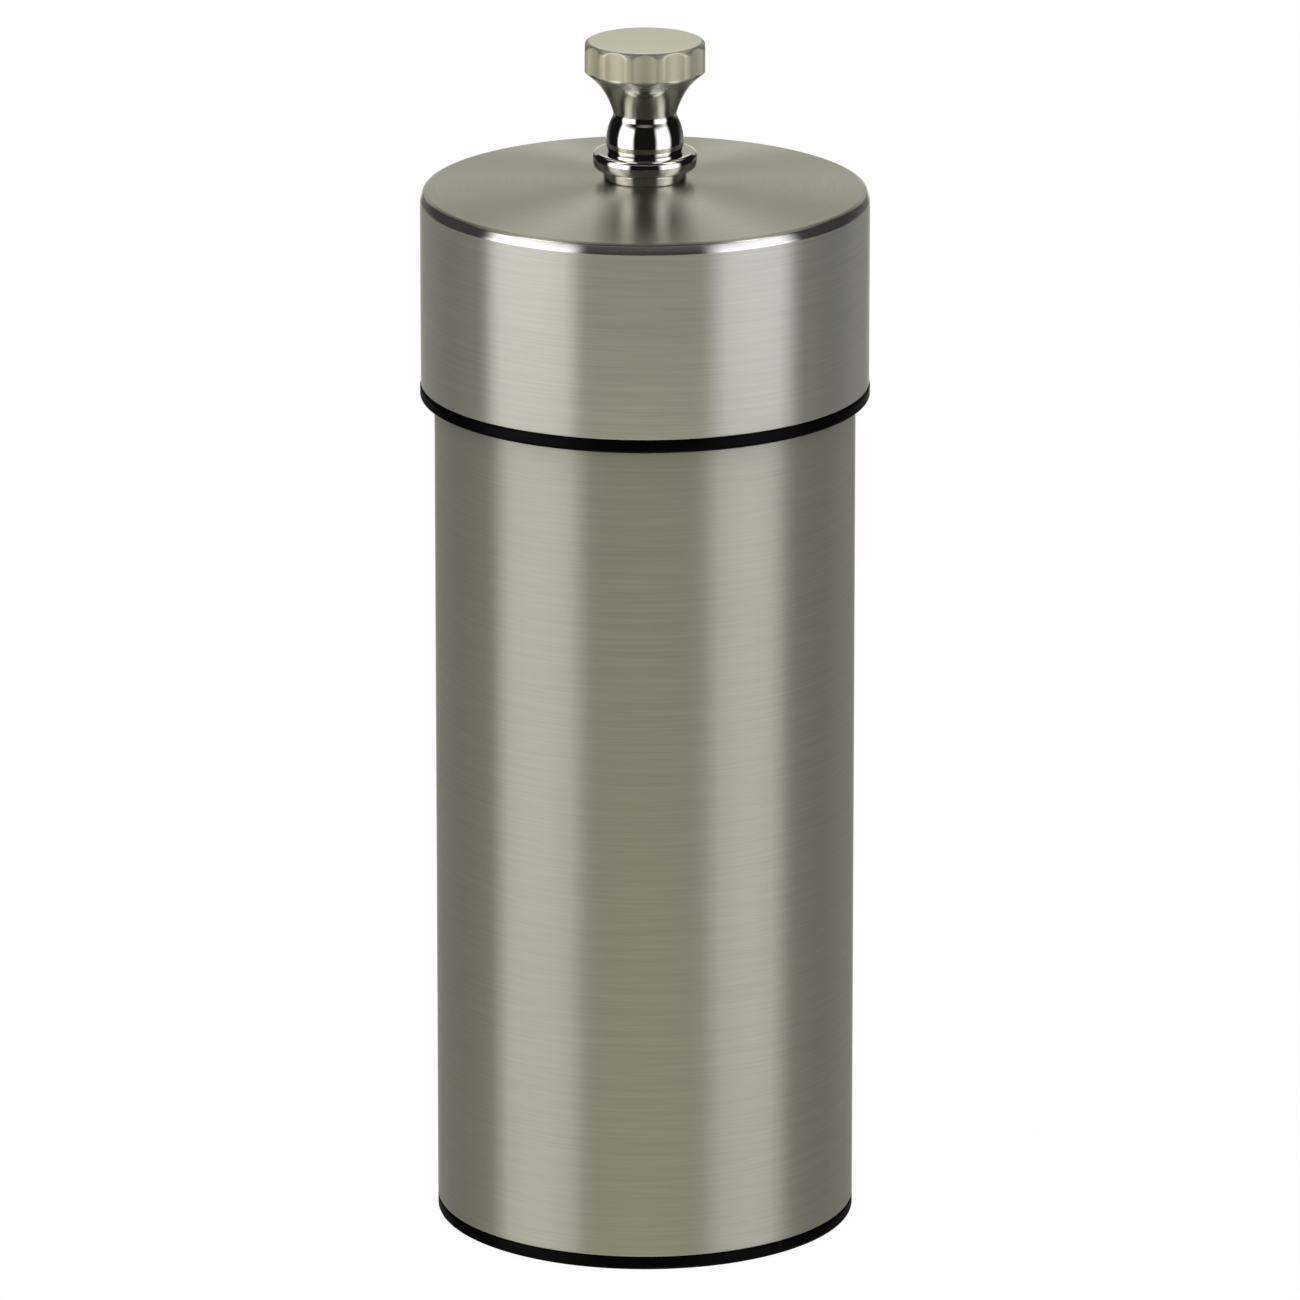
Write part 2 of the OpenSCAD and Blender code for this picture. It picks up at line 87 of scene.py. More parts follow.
SCREWS = 3
SCREW_R = 1.25 * MM
SCREW_HEAD_R = 2.3 * MM
SCREW_HEAD_H = 1.5 * MM
SCREW_EDGE = 0.138 * MM
BASE_SCREW_CIRCLE = 19.05 * MM
PLATE_SCREW_CIRCLE = 12.5 * MM

# The cross recess reaches RIM times its arm at the face and narrows by SLOPE times its arm to its floor.
RECESS_DEPTH = 0.8 * MM
RECESS_ARM = 1.25 * MM
RECESS_HALF = 0.34 * MM
RECESS_RIM = 1.12
RECESS_SLOPE = 0.24

SPRING_R = 4.45 * MM
SPRING_TURNS = 4
WIRE_R = 0.45 * MM

# How finely the turned and wound shapes are divided. A profile stops at the pole radius, short of its axis.
POLE = 0.004 * MM
EDGE_STEPS = 5
WALL_STEPS = 256
CROWN_STEPS = 28
BEAD_STEPS = 14
FLARE_STEPS = 40
FLUTE_STEPS = 20
WASHER_STEPS = 128
SHAFT_STEPS = 160
THREAD_STEPS = 8
SCREW_STEPS = 64
SCREW_RINGS = 16
COIL_STEPS = 48
WIRE_SIDES = 16
SHARP_ANGLE = math.radians(40)

# Least upward part of a face's normal on the knob's flat top, and on the bevel round it. These pick which
# tint of satin chrome a face gets, and the top's lighter tint is painted light.
TOP_LOOKS_UP = 0.95
BEVEL_LOOKS_UP = 0.2

# The floor reaches out of every view and lies a hair below the mill's foot.
FLOOR_HALF = 4.0
FLOOR_LEVEL = -0.02 * MM

# The photo's view: how far the camera stands, how high it looks down and where it looks.
CAMERA_DISTANCE = 1.5
CAMERA_ELEVATION = math.radians(16.42)
CAMERA_TARGET = Vector((0.595 * MM, 0, 69.63 * MM))
CAMERA_LENS = 347.85
CAMERA_SENSOR = 36
CAMERA_REACH = 20

# Soft panels of the studio: bearing from the front and height in degrees, edge softness, strength and tint.
# A later panel covers an earlier one.
PANELS = [
    # The floor, dim all round and lit in front
    {"bearing": (-200, 200), "height": (-120, -34), "edge": 8, "strength": 0.30, "tint": (1.0, 0.99, 0.66)},
    {"bearing": (-40, 42), "height": (-120, -34), "edge": 8, "strength": 1.24, "tint": (1.0, 0.985, 0.67)},
    # The ceiling
    {"bearing": (-200, 200), "height": (72, 120), "edge": 6, "strength": 0.05, "tint": (1.0, 1.0, 0.94)},
    # The low part of the back wall, wide and dim
    {"bearing": (-200, -138), "height": (-50, -6), "edge": 14, "strength": 0.24, "tint": (1.0, 1.0, 0.95)},
    {"bearing": (130, 200), "height": (-50, -6), "edge": 14, "strength": 0.26, "tint": (1.0, 1.0, 0.95)},
    # The back wall's light, and a dimmer band across it
    {"bearing": (-200, -167), "height": (-34, 54), "edge": 9, "strength": 0.95, "tint": (1.0, 1.0, 0.90)},
    {"bearing": (167, 200), "height": (-34, 54), "edge": 9, "strength": 0.95, "tint": (1.0, 1.0, 0.92)},
    {"bearing": (-200, -150), "height": (5, 21), "edge": 5, "strength": 0.42, "tint": (1.0, 1.0, 0.90)},
    {"bearing": (150, 200), "height": (5, 21), "edge": 5, "strength": 0.42, "tint": (1.0, 1.0, 0.92)},
    # A thin strip high in front
    {"bearing": (-48, 48), "height": (37, 42), "edge": 3, "strength": 0.52, "tint": (1.0, 0.99, 0.90)},
    # High wings, dim at the back and bright at the sides
    {"bearing": (-148, -112), "height": (44, 64), "edge": 8, "strength": 0.6, "tint": (1.0, 0.98, 0.86)},
    {"bearing": (112, 148), "height": (44, 64), "edge": 8, "strength": 0.6, "tint": (1.0, 0.98, 0.86)},
    {"bearing": (-88, -60), "height": (40, 62), "edge": 6, "strength": 2.6, "tint": (1.0, 0.99, 0.92)},
    {"bearing": (60, 88), "height": (40, 62), "edge": 6, "strength": 2.6, "tint": (1.0, 0.99, 0.92)},
    # The side panels, which make the bright stripes down the steel
    {"bearing": (-86, -36), "height": (-22, 28), "edge": 6, "strength": 1.69, "tint": (1.0, 0.985, 0.965)},
    {"bearing": (36, 80), "height": (-22, 28), "edge": 8, "strength": 1.60, "tint": (1.0, 1.0, 1.04)}
]


def put(tree, socket, value):
    """Links an output to a socket, or sets a plain value on it."""
    if isinstance(value, bpy.types.NodeSocket):
        tree.links.new(value, socket)
    else:
        socket.default_value = value


def node(tree, kind, settings=None, inputs=None):
    """Adds a node with its settings and inputs."""
    made = tree.nodes.new("ShaderNode" + kind)
    for name, value in (settings or {}).items():
        setattr(made, name, value)
    for name, value in (inputs or {}).items():
        put(tree, made.inputs[name], value)
    return made


def calc(tree, operation, *values):
    """One step of arithmetic on sockets or numbers."""
    made = node(tree, "Math", {"operation": operation})
    for socket, value in zip(made.inputs, values):
        put(tree, socket, value)
    return made.outputs[0]


def remap(tree, value, low, high, start, end):
    """Maps a value from one range to another, eased and held at the ends."""
    made = node(tree, "MapRange", {"interpolation_type": "SMOOTHSTEP"})
    names = ("Value", "From Min", "From Max", "To Min", "To Max")
    for name, number in zip(names, (value, low, high, start, end)):
        put(tree, made.inputs[name], number)
    return made.outputs[0]


def mix_colour(tree, share, first, second):
    """Mixes two colours by a share."""
    made = node(tree, "Mix", {"data_type": "RGBA"})
    put(tree, made.inputs[0], share)
    put(tree, made.inputs[6], first)
    put(tree, made.inputs[7], second)
    return made.outputs[2]


def rgb(red, green, blue):
    """A linear colour with full alpha."""
    return (red, green, blue, 1)


def shade(tint, amount):
    """A tint made darker or lighter."""
    return rgb(*(amount * c for c in tint))


def new_material(name):
    """A material with its node tree and its main shader."""
    material = bpy.data.materials.new(name)
    material.use_nodes = True
    tree = material.node_tree
    return material, tree, tree.nodes["Principled BSDF"]


def object_noise(tree, scale, detail, roughness=0.5):
    """Plain noise fixed to the piece, with the scale in features to the metre."""
    place = node(tree, "TexCoord").outputs["Object"]
    noise = node(tree, "TexNoise", None, {
        "Vector": place,
        "Scale": scale,
        "Detail": detail,
        "Roughness": roughness
    })
    return noise.outputs["Fac"]


def turned_noise(tree, fine, spread, detail):
    """Noise drawn out into streaks that run round the mill's axis, on walls and on faces."""
    place = node(tree, "TexCoord").outputs["Object"]
    split = node(tree, "SeparateXYZ", None, {"Vector": place})
    x, y, z = split.outputs
    square = calc(tree, "ADD", calc(tree, "MULTIPLY", x, x), calc(tree, "MULTIPLY", y, y))
    least_radius = 0.1 * MM
    radius = calc(tree, "MAXIMUM", calc(tree, "SQRT", square), least_radius)
    turned = node(tree, "CombineXYZ", None, {
        "X": calc(tree, "MULTIPLY", calc(tree, "DIVIDE", x, radius), spread),
        "Y": calc(tree, "MULTIPLY", calc(tree, "DIVIDE", y, radius), spread),
        "Z": calc(tree, "MULTIPLY", z, fine)
    })
    noise = node(tree, "TexNoise", {"noise_dimensions": "4D"}, {
        "Vector": turned.outputs[0],
        "W": calc(tree, "MULTIPLY", radius, fine),
        "Scale": 1.0,
        "Detail": detail
    })
    return noise.outputs["Fac"]


def drawn_noise(tree, fine, slow, detail):
    """Noise drawn out into streaks along the mill's axis."""
    place = node(tree, "TexCoord").outputs["Object"]
    scaled = node(tree, "Mapping", None, {"Vector": place, "Scale": (fine, fine, slow)})
    noise = node(tree, "TexNoise", None, {"Vector": scaled.outputs[0], "Scale": 1.0, "Detail": detail})
    return noise.outputs["Fac"]


def bump(tree, shader, height, strength, distance):
    """Gives the shader fine relief."""
    made = node(tree, "Bump", None, {"Height": height, "Strength": strength, "Distance": distance})
    put(tree, shader.inputs["Normal"], made.outputs["Normal"])


def brushed_steel(name, tint, metal, roughness, relief):
    """Steel brushed round the mill's axis, so that highlights run along it.
    What metal leaves of 1 is dull scatter."""
    material, tree, shader = new_material(name)
    streaks = turned_noise(tree, fine=5200, spread=2.5, detail=4.0)
    smudges = object_noise(tree, scale=55, detail=2.0)
    colour = mix_colour(tree, remap(tree, streaks, 0.3, 0.7, 0, 1), shade(tint, 0.93), shade(tint, 1.04))
    grain = remap(tree, streaks, 0.25, 0.75, roughness - 0.03, roughness + 0.03)
    dulling = remap(tree, smudges, 0.45, 0.75, 0, 0.02)
    tangent = node(tree, "Tangent", {"direction_type": "RADIAL", "axis": "Z"})
    put(tree, shader.inputs["Base Color"], colour)
    put(tree, shader.inputs["Roughness"], calc(tree, "ADD", grain, dulling))
    put(tree, shader.inputs["Tangent"], tangent.outputs[0])
    shader.inputs["Metallic"].default_value = metal
    shader.inputs["Anisotropic"].default_value = 0.95
    shader.inputs["Anisotropic Rotation"].default_value = 0.25
    bump(tree, shader, streaks, strength=relief, distance=0.02 * MM)
    return material


def chrome(name, waist_z, band_z):
    """Chrome with faint wipe marks, polished up to the middle of the flare and growing satin above it."""
    material, tree, shader = new_material(name)
    place = node(tree, "TexCoord").outputs["Object"]
    height = node(tree, "SeparateXYZ", None, {"Vector": place}).outputs["Z"]
    marks = object_noise(tree, scale=400, detail=4.0, roughness=0.7)
    colour = mix_colour(tree, marks, rgb(0.80, 0.79, 0.75), rgb(0.86, 0.85, 0.81))
    satin = remap(tree, height, (waist_z + band_z) / 2, band_z, 0.03, 0.34)
    wiped = remap(tree, marks, 0.4, 0.8, 0, 0.04)
    put(tree, shader.inputs["Base Color"], colour)
    put(tree, shader.inputs["Roughness"], calc(tree, "ADD", satin, wiped))
    shader.inputs["Metallic"].default_value = 1
    return material


def satin_chrome(name, tint, metal, roughness):
    """Bead-blasted chrome of the knob's band, top and upper bevel. Each takes its own tint, and the top's
    lighter one is painted light.
    """
    material, tree, shader = new_material(name)
    grain = object_noise(tree, scale=6000, detail=2.0)
    matt = remap(tree, grain, 0.3, 0.7, roughness - 0.05, roughness + 0.05)
    put(tree, shader.inputs["Base Color"], mix_colour(tree, grain, shade(tint, 0.92), shade(tint, 1.08)))
    put(tree, shader.inputs["Roughness"], matt)
    shader.inputs["Metallic"].default_value = metal
    bump(tree, shader, grain, strength=0.06, distance=0.02 * MM)
    return material


def plain_steel(name, tint, roughness, drawn=False):
    """Steel of the small parts inside, turned or stamped, or drawn along the axis."""
    material, tree, shader = new_material(name)
    if drawn:
        streaks = drawn_noise(tree, fine=3500, slow=60, detail=2.0)
    else:
        streaks = turned_noise(tree, fine=3500, spread=1.5, detail=2.0)
    matt = remap(tree, streaks, 0.3, 0.7, roughness - 0.06, roughness + 0.08)
    put(tree, shader.inputs["Base Color"], mix_colour(tree, streaks, shade(tint, 0.85), rgb(*tint)))
    put(tree, shader.inputs["Roughness"], matt)
    shader.inputs["Metallic"].default_value = 1
    bump(tree, shader, streaks, strength=0.05, distance=0.02 * MM)
    return material


def moulded_plastic(name, tint, gloss, roughness, relief):
    """Moulded plastic with a fine spark-eroded grain and faint dulling."""
    material, tree, shader = new_material(name)
    grain = object_noise(tree, scale=4500, detail=3.0)
    dull = object_noise(tree, scale=120, detail=3.0)
    colour = mix_colour(tree, remap(tree, dull, 0.4, 0.8, 0, 1), rgb(*tint), shade(tint, 1.35))
    put(tree, shader.inputs["Base Color"], colour)
    put(tree, shader.inputs["Roughness"], remap(tree, dull, 0.3, 0.8, roughness, roughness + 0.1))
    shader.inputs["Specular IOR Level"].default_value = gloss
    bump(tree, shader, grain, strength=relief, distance=0.03 * MM)
    return material


def nylon(name):
    """Off-white nylon that lets a little light in."""
    material, tree, shader = new_material(name)
    cloud = object_noise(tree, scale=300, detail=4.0)
    colour = mix_colour(tree, cloud, rgb(0.72, 0.69, 0.60), rgb(0.82, 0.80, 0.73))
    put(tree, shader.inputs["Base Color"], colour)
    put(tree, shader.inputs["Roughness"], remap(tree, cloud, 0.3, 0.7, 0.34, 0.46))
    shader.inputs["Subsurface Weight"].default_value = 0.15
    shader.inputs["Subsurface Radius"].default_value = (0.8 * MM, 0.7 * MM, 0.5 * MM)
    return material


def ceramic(name):
    """White ceramic of the burrs, with sparse specks and a ground finish."""
    material, tree, shader = new_material(name)
    place = node(tree, "TexCoord").outputs["Object"]
    cells = node(tree, "TexVoronoi", None, {"Vector": place, "Scale": 900.0})
    specks = remap(tree, cells.outputs["Distance"], 0.05, 0.16, 1, 0)
    cloud = object_noise(tree, scale=700, detail=4.0)
    body = mix_colour(tree, cloud, rgb(0.80, 0.77, 0.69), rgb(0.88, 0.86, 0.80))
    put(tree, shader.inputs["Base Color"], mix_colour(tree, specks, body, rgb(0.55, 0.50, 0.42)))
    put(tree, shader.inputs["Roughness"], remap(tree, cloud, 0.3, 0.7, 0.30, 0.48))
    bump(tree, shader, cloud, strength=0.12, distance=0.03 * MM)
    return material


def floor_material(name):
    """Pale paper floor, lit so evenly that it is almost white."""
    material, tree, shader = new_material(name)
    fibre = object_noise(tree, scale=900, detail=4.0)
    colour = mix_colour(tree, fibre, rgb(0.10, 0.10, 0.10), rgb(0.12, 0.12, 0.12))
    put(tree, shader.inputs["Base Color"], colour)
    shader.inputs["Roughness"].default_value = 0.9
    shader.inputs["Specular IOR Level"].default_value = 0
    shader.inputs["Emission Color"].default_value = rgb(1, 1, 1)
    shader.inputs["Emission Strength"].default_value = 0.96
    return material


def soften(corners):
    """Profile through (radius, height, rounding) corners, each rounded over that length of its sides.
    The corners close on themselves."""
    profile = []
    for i, (r, z, rounding) in enumerate(corners):
        here = Vector((r, z))
        if rounding == 0:
            profile.append(here)
            continue
        before = Vector(corners[i - 1][:2])
        after = Vector(corners[(i + 1) % len(corners)][:2])
        start = here + (before - here).normalized() * rounding
        end = here + (after - here).normalized() * rounding
        for k in range(EDGE_STEPS + 1):
            t = k / EDGE_STEPS
            profile.append(start.lerp(here, t).lerp(here.lerp(end, t), t))
    return profile


def lathe(profile, steps, shape=None, centre=(0, 0)):
    """Vertices and faces of a closed profile turned round an upright axis.
    shape(radius, height, angle) may change a point's radius and height."""
    vertices = []
    for k in range(steps):
        angle = TURN * k / steps
        for r, z in profile:
            if shape:
                r, z = shape(r, z, angle)
            vertices.append((centre[0] + r * math.cos(angle), centre[1] + r * math.sin(angle), z))
    count = len(profile)
    faces = []
    for k in range(steps):
        for i in range(count):
            a, b = k * count, (k + 1) % steps * count
            j = (i + 1) % count
            faces.append((a + i, b + i, b + j, a + j))
    return vertices, faces


def joined(shapes):
    """One list of vertices and faces from several."""
    vertices, faces = [], []
    for more_vertices, more_faces in shapes:
        start = len(vertices)
        vertices += more_vertices
        faces += [tuple(start + i for i in face) for face in more_faces]
    return vertices, faces


def piece(name, shape, stands_for, body, slot, *materials):
    """Makes a smooth mesh that stands for a solid and moves with its body."""
    mesh = bpy.data.meshes.new(name)
    mesh.from_pydata(shape[0], [], shape[1])
    mesh.validate()
    mesh.shade_smooth()
    mesh.set_sharp_from_angle(angle=SHARP_ANGLE)
    for material in materials:
        mesh.materials.append(material)
    made = bpy.data.objects.new(name, mesh)
    bpy.context.scene.collection.objects.link(made)
    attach(made, body)
    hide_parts(stands_for)
    return made


def make_body_tube(steel):
    """The tube with its edges broken, so that they catch the light."""
    low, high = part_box("body_tube")
    outer = high.x
    bore = outer - TUBE_WALL
    profile = soften([
        (bore, low.z, 0),
        (outer, low.z, TUBE_EDGE),
        (outer, high.z, TUBE_EDGE),
        (bore, high.z, 0)
    ])
    piece("tube_skin", lathe(profile, WALL_STEPS), "body_tube", "body", "steel_body", steel)


def crown_arc(middle_z, rim_r, inner_r, depth):
    """Points of the domed top, or of its underside, from the hole to the rim."""
    radius = (rim_r ** 2 + CROWN_RISE ** 2) / (2 * CROWN_RISE)
    points = []
    for k in range(CROWN_STEPS + 1):
        r = inner_r + (rim_r - inner_r) * k / CROWN_STEPS
        z = middle_z - radius + math.sqrt((radius - depth) ** 2 - r ** 2)
        points.append(Vector((r, z)))
    return points


def make_head_shell(steel, polished, crown_steel):
    """The steel cap: straight wall, polished bevel round the rim and domed top."""
    low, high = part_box("head_shell")
    middle_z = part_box("knob_washer")[0].z
    outer = high.x
    bevel_r = outer - RIM_BEVEL
    rim_r = bevel_r - RIM_SHOULDER
    rim_z = middle_z - CROWN_RISE
    bevel_z = rim_z - RIM_SHOULDER_H
    bore = outer - SHELL_WALL
    top = crown_arc(middle_z, rim_r - RIM_EDGE, SHELL_HOLE_R, 0)
    under = crown_arc(middle_z, bore, SHELL_HOLE_R, SHELL_WALL)
    rim = soften([
        (bore, low.z, 0),
        (outer, low.z, RIM_EDGE),
        (outer, bevel_z - RIM_BEVEL_H, RIM_EDGE),
        (bevel_r, bevel_z, RIM_EDGE),
        (rim_r, rim_z, RIM_EDGE),
        (rim_r - 2 * RIM_EDGE, top[-1].y, 0)
    ])
    shape = lathe(under + rim[:-1] + top[::-1], WALL_STEPS)
    made = piece("cap_skin", shape, "head_shell", "head", "steel_head", steel, polished, crown_steel)
    for face in made.data.polygons:
        if face.center.z < bevel_z - RIM_BEVEL_H - RIM_EDGE or face.normal.z < 0:
            continue
        out = math.hypot(face.center.x, face.center.y)
        face.material_index = 1 if out > bevel_r else 2


def soft_min(a, b, reach):
    """The smaller of two values, rounded where they meet."""
    near = max(reach - abs(a - b), 0) / reach
    return min(a, b) - near * near * reach / 4


def arc(centre_r, centre_z, radius, low, high, side, steps):
    """Points on a circle between two heights, on its outer (1) or inner (-1) side."""
    points = []
    for k in range(steps + 1):
        z = low + (high - low) * k / steps
        points.append(Vector((centre_r + side * math.sqrt(radius ** 2 - (z - centre_z) ** 2), z)))
    return points


def bead_arc(low_z, waist):
    """The bulging curve from the flange up to the waist."""
    return arc(BEAD_R - BEAD_CURVE, low_z + BEAD_H, BEAD_CURVE, low_z + FLANGE_H, waist.y, 1, BEAD_STEPS)


def flare_arc(waist, end):
    """The hollow curve from the waist up to the band."""
    chord = end - waist
    depth = math.sqrt(FLARE_CURVE ** 2 - (chord.length / 2) ** 2)
    middle = waist + chord / 2 + depth / chord.length * Vector((chord.y, -chord.x))
    return arc(middle.x, middle.y, FLARE_CURVE, waist.y, end.y, -1, FLARE_STEPS)


def knob_profile(low_z, high_z, knob_r):
    """Flange, bead, rounded waist, flare, band and top, with the stud's hole."""
    waist = Vector((WAIST_R, low_z + WAIST_H))
    band_low = Vector((knob_r, high_z - BAND_H))
    bead = bead_arc(low_z, waist)
    # The flare's last points give way to the rounded lower edge of the band.
    flare = flare_arc(waist, band_low)[:-2]
    below = [p for p in bead if p.y < waist.y - WAIST_EDGE]
    above = [p for p in flare[:-1] if p.y > waist.y + WAIST_EDGE]
    flange = soften([
        (STUD_HOLE_R, low_z, 0),
        (FLANGE_R, low_z, FLANGE_EDGE),
        (FLANGE_R, low_z + FLANGE_H, FLANGE_EDGE),
        (BEAD_R, low_z + FLANGE_H, 0)
    ])[:-1]
    neck = soften([
        (*below[-1], 0),
        (*waist, WAIST_EDGE),
        (*above[0], 0)
    ])[1:-1]
    head = soften([
        (*flare[-1], 0),
        (*band_low, KNOB_EDGE),
        (knob_r, high_z - KNOB_BEVEL, KNOB_ROUND),
        (knob_r - KNOB_BEVEL, high_z, KNOB_ROUND),
        (POLE, high_z, 0)
    ])
    hole = [
        Vector((POLE, low_z + KNOB_HOLE_H)),
        Vector((STUD_HOLE_R, low_z + KNOB_HOLE_H))
    ]
    return flange + below + neck + above + head + hole


def make_knob(polished, band, top, bevel):
    """The fluted knob: polished below, satin on its band and top, with the top's satin lightened as painted
    light.
    """
    low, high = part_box("knob")
    knob_r = max(high.x, high.y)
    flute_centre = knob_r - FLUTE_DEPTH + FLUTE_R
    waist_z = low.z + WAIST_H
    band_z = high.z - BAND_H

    def fluted(r, z, angle):
        """Cuts the round flutes into the band and the flare's edge, the first one at the front."""
        pitch = TURN / FLUTES
        off = (angle + TURN / 4 + pitch / 2) % pitch - pitch / 2
        chord = FLUTE_R ** 2 - (flute_centre * math.sin(off)) ** 2
        if z < waist_z:
            return r, z
        return soft_min(r, flute_centre * math.cos(off) - math.sqrt(chord), FLUTE_EDGE), z

    shape = lathe(knob_profile(low.z, high.z, knob_r), FLUTES * FLUTE_STEPS, fluted)
    made = piece("knob_skin", shape, "knob", "knob", "chrome", polished, band, top, bevel)
    # Faces take their satin by how far they look up. The flat top gets the lighter tint, which is painted
    # light on the upward faces.
    for face in made.data.polygons:
        if face.center.z < band_z:
            continue
        if face.normal.z > TOP_LOOKS_UP:
            face.material_index = 2
        elif face.normal.z > BEVEL_LOOKS_UP:
            face.material_index = 3
        else:
            face.material_index = 1


def make_knob_washer(polished):
    """The small polished washer under the knob."""
    low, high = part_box("knob_washer")
    outer = high.x
    profile = soften([
        (STUD_HOLE_R, low.z, 0),
        (outer, low.z, WASHER_EDGE),
        (outer, high.z, WASHER_EDGE),
        (STUD_HOLE_R, high.z, 0)
    ])
    shape = lathe(profile, WASHER_STEPS)
    piece("knob_foot_skin", shape, "knob_washer", "knob_foot", "chrome", polished)


def make_shaft(steel):
    """Square shaft with rounded corners and a threaded stud at its top."""
    low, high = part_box("drive_shaft")
    half = SHAFT_SIDE / 2
    shoulder_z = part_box("knob_washer")[0].z - SHAFT_SHOULDER_DEPTH
    thread_low = shoulder_z + THREAD_PITCH
    thread_high = high.z - THREAD_PITCH
    rows = round((thread_high - thread_low) / THREAD_PITCH * THREAD_STEPS)
    stud = [Vector((STUD_R, thread_low + (thread_high - thread_low) * k / rows)) for k in range(rows + 1)]
    foot = soften([
        (SHAFT_HOLE_R, low.z, 0),
        (SHAFT_CORNER_R, low.z, SHAFT_EDGE),
        (SHAFT_CORNER_R, shoulder_z, SHAFT_EDGE),
        (STUD_R, shoulder_z, 0)
    ])
    tip = [
        Vector((STUD_R - STUD_CHAMFER, high.z)),
        Vector((POLE, high.z)),
        Vector((POLE, low.z + SHAFT_HOLE_H)),
        Vector((SHAFT_HOLE_R, low.z + SHAFT_HOLE_H))
    ]

    def cut(r, z, angle):
        """Flats on the square and a thread on the stud."""
        if z <= shoulder_z and r > STUD_R:
            return min(r, half / max(abs(math.cos(angle)), abs(math.sin(angle)))), z
        if thread_low <= z <= thread_high and abs(r - STUD_R) < POLE:
            phase = (z / THREAD_PITCH - angle / TURN) % 1
            return r - THREAD_DEPTH * abs(2 * phase - 1), z
        return r, z

    shape = lathe(foot + stud + tip, SHAFT_STEPS, cut)
    piece("shaft_bar", shape, "drive_shaft", "drive", "shaft_steel", steel)


def recess(x, y):
    """Depth of a cross recess at a point of a screw's face."""
    arms = [
        max(abs(u) / RECESS_ARM, abs(v) / RECESS_HALF)
        for u, v in ((x, y), (y, x))
    ]
    return RECESS_DEPTH * min(max((RECESS_RIM - min(arms)) / RECESS_SLOPE, 0), 1)


def screw(face_z, tip_z, pan, centre):
    """A screw that hangs head down from its tip, with a cross recess in its face."""
    face_r = SCREW_HEAD_R - SCREW_EDGE
    face = [Vector((POLE + face_r * k / SCREW_RINGS, face_z)) for k in range(SCREW_RINGS + 1)]
    if pan:
        head = [
            Vector((SCREW_HEAD_R, face_z + SCREW_EDGE)),
            Vector((SCREW_HEAD_R, face_z + SCREW_HEAD_H)),
            Vector((SCREW_R, face_z + SCREW_HEAD_H))
        ]
    else:
        head = [
            Vector((SCREW_HEAD_R, face_z + SCREW_EDGE / 2)),
            Vector((SCREW_R, face_z + SCREW_HEAD_H))
        ]
    tip = [
        Vector((SCREW_R, tip_z - SCREW_R)),
        Vector((SCREW_R / 2, tip_z)),
        Vector((POLE, tip_z))
    ]

    def stamped(r, z, angle):
        """Sinks the cross into the flat face."""
        if z > face_z:
            return r, z
        return r, z + recess(r * math.cos(angle), r * math.sin(angle))

    return lathe(face + head + tip, SCREW_STEPS, stamped, centre)


def circle_places(count, radius):
    """Places round a circle, the first at the front."""
    angles = [TURN * i / count - TURN / 4 for i in range(count)]
    return [(radius * math.cos(a), radius * math.sin(a)) for a in angles]


def make_screws(steel):
    """The base's countersunk screws, the drive plate's screws and the rotor's screw."""
    low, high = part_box("base_screws")
    shapes = [screw(low.z, high.z, False, place) for place in circle_places(SCREWS, BASE_SCREW_CIRCLE)]
    piece("base_screw_set", joined(shapes), "base_screws", "body", "screw_steel", steel)
    low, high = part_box("plate_screws")
    shapes = [screw(low.z, high.z, True, place) for place in circle_places(SCREWS, PLATE_SCREW_CIRCLE)]
    piece("plate_screw_set", joined(shapes), "plate_screws", "head", "screw_steel", steel)
    low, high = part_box("rotor_screw")
    shape = screw(low.z, high.z, True, (0, 0))
    piece("rotor_screw_fine", shape, "rotor_screw", "drive", "screw_steel", steel)


def coil(low_z, high_z):
    """Vertices and faces of a round wire wound evenly between two heights, with closed ends."""
    steps = SPRING_TURNS * COIL_STEPS
    rise = high_z - low_z - 2 * WIRE_R
    vertices, faces = [], []
    for k in range(steps + 1):
        angle = TURN * SPRING_TURNS * k / steps
        middle_z = low_z + WIRE_R + rise * k / steps
        for s in range(WIRE_SIDES):
            turn = TURN * s / WIRE_SIDES
            r = SPRING_R + WIRE_R * math.cos(turn)
            vertices.append((r * math.cos(angle), r * math.sin(angle), middle_z + WIRE_R * math.sin(turn)))
    for k in range(steps):
        for s in range(WIRE_SIDES):
            a, b = k * WIRE_SIDES, (k + 1) * WIRE_SIDES
            t = (s + 1) % WIRE_SIDES
            faces.append((a + s, b + s, b + t, a + t))
    faces.append(tuple(range(WIRE_SIDES)))
    faces.append(tuple(steps * WIRE_SIDES + s for s in reversed(range(WIRE_SIDES))))
    return vertices, faces


def make_spring(steel):
    """The spring, wound between the ends of its solid on a mesh of its own. The real one shortens with the
    burr's travel.
    """
    low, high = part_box("burr_spring")
    made = piece("spring_wire", coil(low.z, high.z), "burr_spring", "body", "spring_steel", steel)
    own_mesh(made)


def dress(nodes, names, material):
    """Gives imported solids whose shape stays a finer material."""
    for name in names:
        slots = nodes[name].data.materials
        slots.clear()
        slots.append(material)


